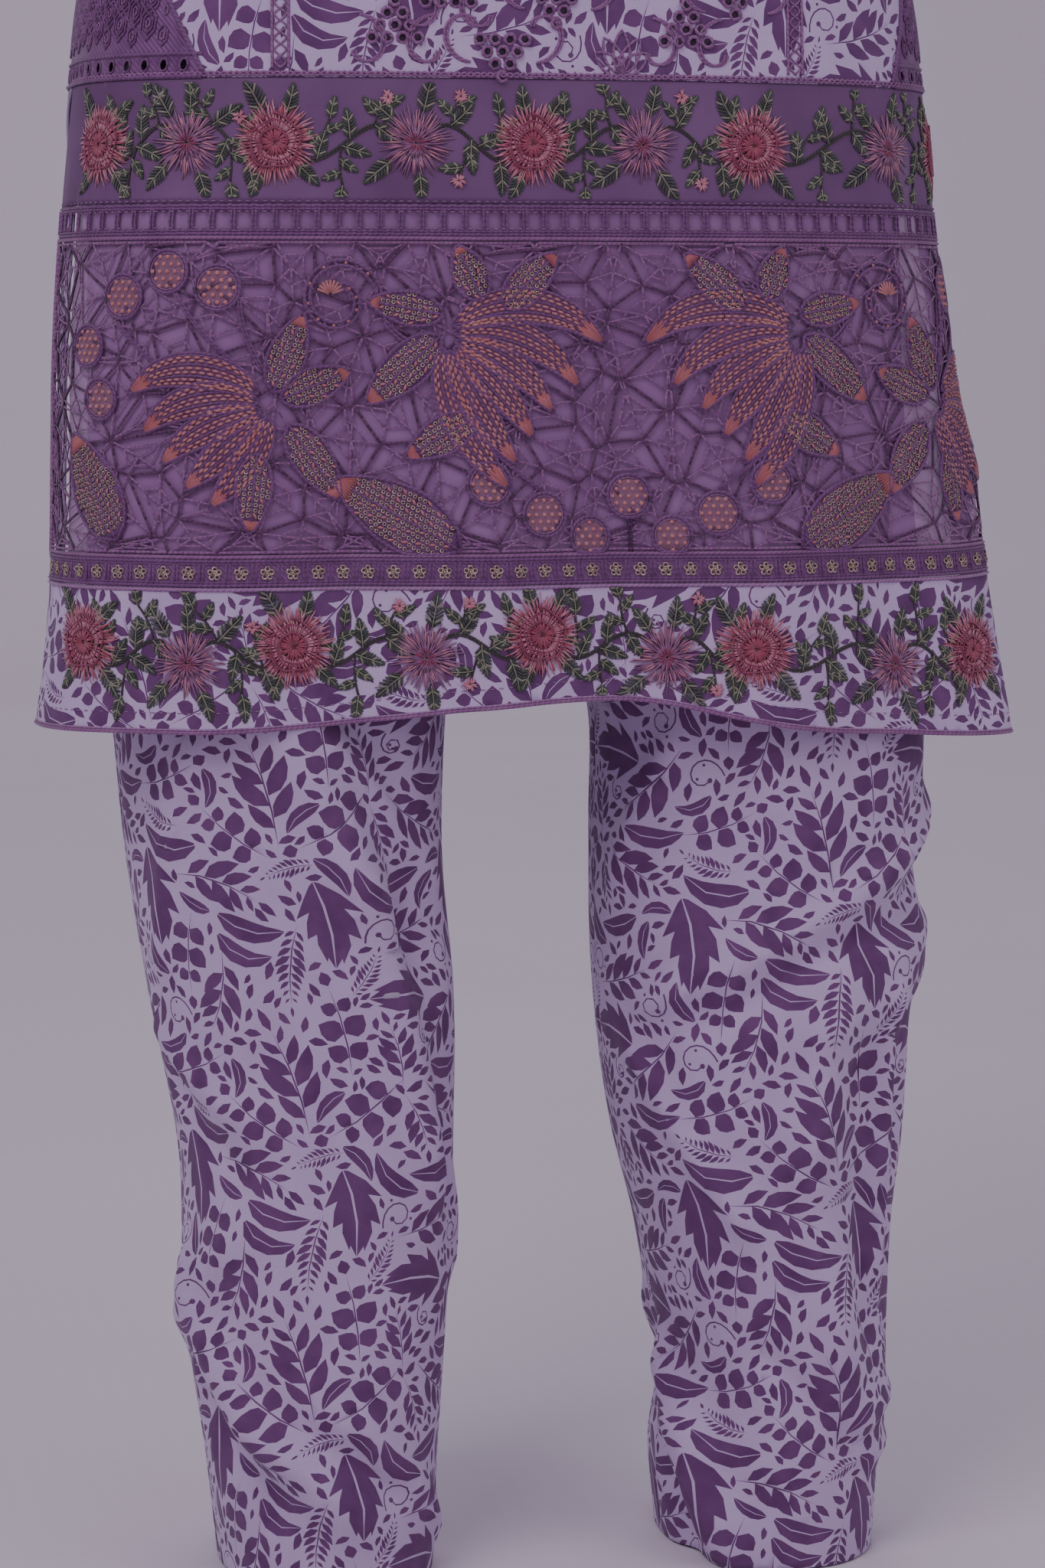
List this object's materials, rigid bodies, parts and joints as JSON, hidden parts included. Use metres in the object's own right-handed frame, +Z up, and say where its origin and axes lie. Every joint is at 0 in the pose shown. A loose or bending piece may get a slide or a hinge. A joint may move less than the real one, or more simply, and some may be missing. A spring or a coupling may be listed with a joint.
{
  "type": "salwar suit",
  "caption": "Worn salwar suit, hollow: long printed kameez with lace side gores and lace hem borders over straight printed trousers.",
  "frame": {"origin": "middle of the shoulder line, where the wearer's shoulders hold the kameez", "axes": "+Z up, -Y out of the garment's front, +X to the viewer's right"},
  "size_m": [0.7252, 0.2738, 1.4759],
  "materials": {
    "print": "fine white cotton printed with purple sprigs, soft and matte",
    "organza": "sheer purple organza with a slight sheen",
    "lace": "corded purple lace with satin thread relief",
    "sequins": "corded strip set with small glossy sequins",
    "thread": "glossy embroidery thread in pinks, mauve, green and brown"
  },
  "bodies": {
    "root": {"front_body": "print", "back_body": "print", "back_skirt": "print", "side_gore_left": "lace", "side_gore_right": "lace", "sleeve_left": "print", "sleeve_right": "print", "organza_band": "organza", "ladder_band": "lace", "cutwork_band": "lace", "sequin_strip": "sequins", "hem_band": "print", "slit_facing_left": "print", "slit_facing_right": "print", "trouser_front_left": "print", "trouser_back_left": "print", "trouser_front_right": "print", "trouser_back_right": "print"}
  },
  "joints": []
}
